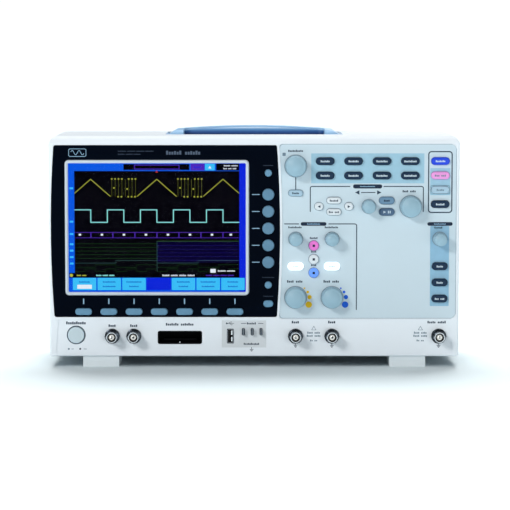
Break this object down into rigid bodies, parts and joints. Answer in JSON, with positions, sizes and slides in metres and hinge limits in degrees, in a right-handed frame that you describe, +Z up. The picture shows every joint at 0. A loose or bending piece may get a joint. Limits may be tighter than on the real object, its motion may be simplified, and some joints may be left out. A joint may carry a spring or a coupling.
{
  "type": "logic analyzer",
  "caption": "Bench logic analyzer with a built-in screen: a boxy case with menu keys, knobs, front sockets, a folding handle and tilt feet.",
  "frame": {"origin": "on the surface the feet stand on, in the middle of the width and of the depth over knobs and rear bumpers", "axes": "+X to the right as the user faces the screen, +Y from the front to the back, +Z up"},
  "size_m": [0.38, 0.145, 0.2215],
  "materials": {
    "case_plastic": "fine texture",
    "panel_plastic": "satin",
    "bezel_plastic": "gloss",
    "rim_plastic": "gloss",
    "screen_glass": "clear",
    "display_metal": "satin",
    "circuit_board": "solder mask",
    "jack_metal": "nickel plated",
    "port_black": "satin",
    "socket_steel": "bright",
    "tab_metal": "plated",
    "chassis_metal": "bare",
    "supply_mix": "mixed",
    "fan_black": "satin",
    "pan_metal": "satin",
    "screw_steel": "zinc plated",
    "handle_plastic": "satin",
    "foot_rubber": "matte",
    "knob_plastic": "satin",
    "power_plastic": "satin",
    "menu_silicone": "matte",
    "dark_silicone": "matte",
    "blue_key": "satin",
    "pink_key": "satin",
    "pale_key": "satin",
    "white_key": "satin",
    "slate_key": "satin",
    "violet_key": "satin",
    "sky_key": "satin"
  },
  "bodies": {
    "case": {"front_frame": "case_plastic", "screen_bezel": "bezel_plastic", "control_panel": "panel_plastic", "screen_rim": "rim_plastic", "screen_pane": "screen_glass", "display_module": "display_metal", "key_board": "circuit_board", "front_jacks": "jack_metal", "logic_port": "port_black", "usb_port": "socket_steel", "demo_terminals": "tab_metal", "main_board": "circuit_board", "chassis": "chassis_metal", "power_supply": "supply_mix", "fan_frame": "fan_black", "rear_cover": "case_plastic", "rear_panel": "pan_metal", "rear_sockets": "jack_metal", "mains_inlet": "port_black", "option_slot_covers": "pan_metal", "case_screws": "screw_steel", "case_feet": "foot_rubber"},
    "carry_handle": {"carry_handle": "handle_plastic"},
    "tilt_leg_left": {"tilt_leg_left": "foot_rubber"},
    "tilt_leg_right": {"tilt_leg_right": "foot_rubber"},
    "variable_knob": {"variable_knob": "knob_plastic"},
    "time_scale_knob": {"time_scale_knob": "knob_plastic"},
    "channel_1_scale_knob": {"channel_1_scale_knob": "knob_plastic"},
    "channel_2_scale_knob": {"channel_2_scale_knob": "knob_plastic"},
    "horizontal_position_knob": {"horizontal_position_knob": "knob_plastic"},
    "trigger_level_knob": {"trigger_level_knob": "knob_plastic"},
    "channel_1_position_knob": {"channel_1_position_knob": "knob_plastic"},
    "channel_2_position_knob": {"channel_2_position_knob": "knob_plastic"},
    "fan_rotor": {"fan_rotor": "fan_black"},
    "power_button": {"power_button": "power_plastic"},
    "menu_keypad": {"menu_keypad": "menu_silicone"},
    "side_keypad": {"side_keypad": "menu_silicone"},
    "function_keypad": {"function_keypad": "dark_silicone"},
    "option_key": {"option_key": "menu_silicone"},
    "menu_off_key": {"menu_off_key": "menu_silicone"},
    "print_key": {"print_key": "menu_silicone"},
    "select_key": {"select_key": "pale_key"},
    "autoset_key": {"autoset_key": "blue_key"},
    "run_stop_key": {"run_stop_key": "pink_key"},
    "single_key": {"single_key": "pale_key"},
    "default_setup_key": {"default_setup_key": "dark_silicone"},
    "arrow_left_key": {"arrow_left_key": "pale_key"},
    "arrow_right_key": {"arrow_right_key": "pale_key"},
    "search_key": {"search_key": "white_key"},
    "set_clear_key": {"set_clear_key": "white_key"},
    "zoom_key": {"zoom_key": "slate_key"},
    "play_pause_key": {"play_pause_key": "slate_key"},
    "math_key": {"math_key": "violet_key"},
    "reference_key": {"reference_key": "white_key"},
    "bus_key": {"bus_key": "sky_key"},
    "channel_1_key": {"channel_1_key": "white_key"},
    "channel_2_key": {"channel_2_key": "white_key"},
    "trigger_menu_key": {"trigger_menu_key": "dark_silicone"},
    "trigger_half_key": {"trigger_half_key": "dark_silicone"},
    "trigger_force_key": {"trigger_force_key": "dark_silicone"}
  },
  "joints": [
    {"name": "handle_hinge", "type": "hinge", "parent": "case", "child": "carry_handle", "pos_m": [0, -0.006, 0.209], "axis": [1, 0, 0], "range_deg": [0, 90]},
    {"name": "tilt_leg_left_hinge", "type": "hinge", "parent": "case", "child": "tilt_leg_left", "pos_m": [-0.1427, -0.049, 0.0037], "axis": [1, 0, 0], "range_deg": [-95, 0]},
    {"name": "tilt_leg_right_hinge", "type": "hinge", "parent": "case", "child": "tilt_leg_right", "pos_m": [0.1427, -0.049, 0.0037], "axis": [1, 0, 0], "range_deg": [-95, 0]},
    {"name": "variable_knob_turn", "type": "hinge", "parent": "case", "child": "variable_knob", "pos_m": [0.0385, -0.0592, 0.1873], "axis": [0, 1, 0], "continuous": true},
    {"name": "time_scale_knob_turn", "type": "hinge", "parent": "case", "child": "time_scale_knob", "pos_m": [0.145, -0.0592, 0.1498], "axis": [0, 1, 0], "continuous": true},
    {"name": "channel_1_scale_knob_turn", "type": "hinge", "parent": "case", "child": "channel_1_scale_knob", "pos_m": [0.0385, -0.0592, 0.0652], "axis": [0, 1, 0], "continuous": true},
    {"name": "channel_2_scale_knob_turn", "type": "hinge", "parent": "case", "child": "channel_2_scale_knob", "pos_m": [0.0723, -0.0592, 0.0652], "axis": [0, 1, 0], "continuous": true},
    {"name": "horizontal_position_knob_turn", "type": "hinge", "parent": "case", "child": "horizontal_position_knob", "pos_m": [0.1062, -0.0592, 0.1498], "axis": [0, 1, 0], "continuous": true},
    {"name": "trigger_level_knob_turn", "type": "hinge", "parent": "case", "child": "trigger_level_knob", "pos_m": [0.1722, -0.0592, 0.1196], "axis": [0, 1, 0], "continuous": true},
    {"name": "channel_1_position_knob_turn", "type": "hinge", "parent": "case", "child": "channel_1_position_knob", "pos_m": [0.0385, -0.0592, 0.1196], "axis": [0, 1, 0], "continuous": true},
    {"name": "channel_2_position_knob_turn", "type": "hinge", "parent": "case", "child": "channel_2_position_knob", "pos_m": [0.0723, -0.0592, 0.1196], "axis": [0, 1, 0], "continuous": true},
    {"name": "fan_spin", "type": "hinge", "parent": "case", "child": "fan_rotor", "pos_m": [0.1, 0.0555, 0.14], "axis": [0, 1, 0], "continuous": true},
    {"name": "power_button_press", "type": "slide", "parent": "case", "child": "power_button", "axis": [0, 1, 0], "range_m": [0, 0.0015], "stiffness_N_per_m": 900},
    {"name": "menu_keypad_press", "type": "slide", "parent": "case", "child": "menu_keypad", "axis": [0, 1, 0], "range_m": [0, 0.0012], "stiffness_N_per_m": 1600},
    {"name": "side_keypad_press", "type": "slide", "parent": "case", "child": "side_keypad", "axis": [0, 1, 0], "range_m": [0, 0.0012], "stiffness_N_per_m": 1600},
    {"name": "function_keypad_press", "type": "slide", "parent": "case", "child": "function_keypad", "axis": [0, 1, 0], "range_m": [0, 0.0012], "stiffness_N_per_m": 2400},
    {"name": "option_key_press", "type": "slide", "parent": "case", "child": "option_key", "axis": [0, 1, 0], "range_m": [0, 0.0012], "stiffness_N_per_m": 700},
    {"name": "menu_off_key_press", "type": "slide", "parent": "case", "child": "menu_off_key", "axis": [0, 1, 0], "range_m": [0, 0.0012], "stiffness_N_per_m": 700},
    {"name": "print_key_press", "type": "slide", "parent": "case", "child": "print_key", "axis": [0, 1, 0], "range_m": [0, 0.0012], "stiffness_N_per_m": 700},
    {"name": "select_key_press", "type": "slide", "parent": "case", "child": "select_key", "axis": [0, 1, 0], "range_m": [0, 0.0012], "stiffness_N_per_m": 700},
    {"name": "autoset_key_press", "type": "slide", "parent": "case", "child": "autoset_key", "axis": [0, 1, 0], "range_m": [0, 0.0012], "stiffness_N_per_m": 700},
    {"name": "run_stop_key_press", "type": "slide", "parent": "case", "child": "run_stop_key", "axis": [0, 1, 0], "range_m": [0, 0.0012], "stiffness_N_per_m": 700},
    {"name": "single_key_press", "type": "slide", "parent": "case", "child": "single_key", "axis": [0, 1, 0], "range_m": [0, 0.0012], "stiffness_N_per_m": 700},
    {"name": "default_setup_key_press", "type": "slide", "parent": "case", "child": "default_setup_key", "axis": [0, 1, 0], "range_m": [0, 0.0012], "stiffness_N_per_m": 700},
    {"name": "arrow_left_key_press", "type": "slide", "parent": "case", "child": "arrow_left_key", "axis": [0, 1, 0], "range_m": [0, 0.0012], "stiffness_N_per_m": 700},
    {"name": "arrow_right_key_press", "type": "slide", "parent": "case", "child": "arrow_right_key", "axis": [0, 1, 0], "range_m": [0, 0.0012], "stiffness_N_per_m": 700},
    {"name": "search_key_press", "type": "slide", "parent": "case", "child": "search_key", "axis": [0, 1, 0], "range_m": [0, 0.0012], "stiffness_N_per_m": 700},
    {"name": "set_clear_key_press", "type": "slide", "parent": "case", "child": "set_clear_key", "axis": [0, 1, 0], "range_m": [0, 0.0012], "stiffness_N_per_m": 700},
    {"name": "zoom_key_press", "type": "slide", "parent": "case", "child": "zoom_key", "axis": [0, 1, 0], "range_m": [0, 0.0012], "stiffness_N_per_m": 700},
    {"name": "play_pause_key_press", "type": "slide", "parent": "case", "child": "play_pause_key", "axis": [0, 1, 0], "range_m": [0, 0.0012], "stiffness_N_per_m": 700},
    {"name": "math_key_press", "type": "slide", "parent": "case", "child": "math_key", "axis": [0, 1, 0], "range_m": [0, 0.0012], "stiffness_N_per_m": 700},
    {"name": "reference_key_press", "type": "slide", "parent": "case", "child": "reference_key", "axis": [0, 1, 0], "range_m": [0, 0.0012], "stiffness_N_per_m": 700},
    {"name": "bus_key_press", "type": "slide", "parent": "case", "child": "bus_key", "axis": [0, 1, 0], "range_m": [0, 0.0012], "stiffness_N_per_m": 700},
    {"name": "channel_1_key_press", "type": "slide", "parent": "case", "child": "channel_1_key", "axis": [0, 1, 0], "range_m": [0, 0.0012], "stiffness_N_per_m": 700},
    {"name": "channel_2_key_press", "type": "slide", "parent": "case", "child": "channel_2_key", "axis": [0, 1, 0], "range_m": [0, 0.0012], "stiffness_N_per_m": 700},
    {"name": "trigger_menu_key_press", "type": "slide", "parent": "case", "child": "trigger_menu_key", "axis": [0, 1, 0], "range_m": [0, 0.0012], "stiffness_N_per_m": 700},
    {"name": "trigger_half_key_press", "type": "slide", "parent": "case", "child": "trigger_half_key", "axis": [0, 1, 0], "range_m": [0, 0.0012], "stiffness_N_per_m": 700},
    {"name": "trigger_force_key_press", "type": "slide", "parent": "case", "child": "trigger_force_key", "axis": [0, 1, 0], "range_m": [0, 0.0012], "stiffness_N_per_m": 700}
  ]
}
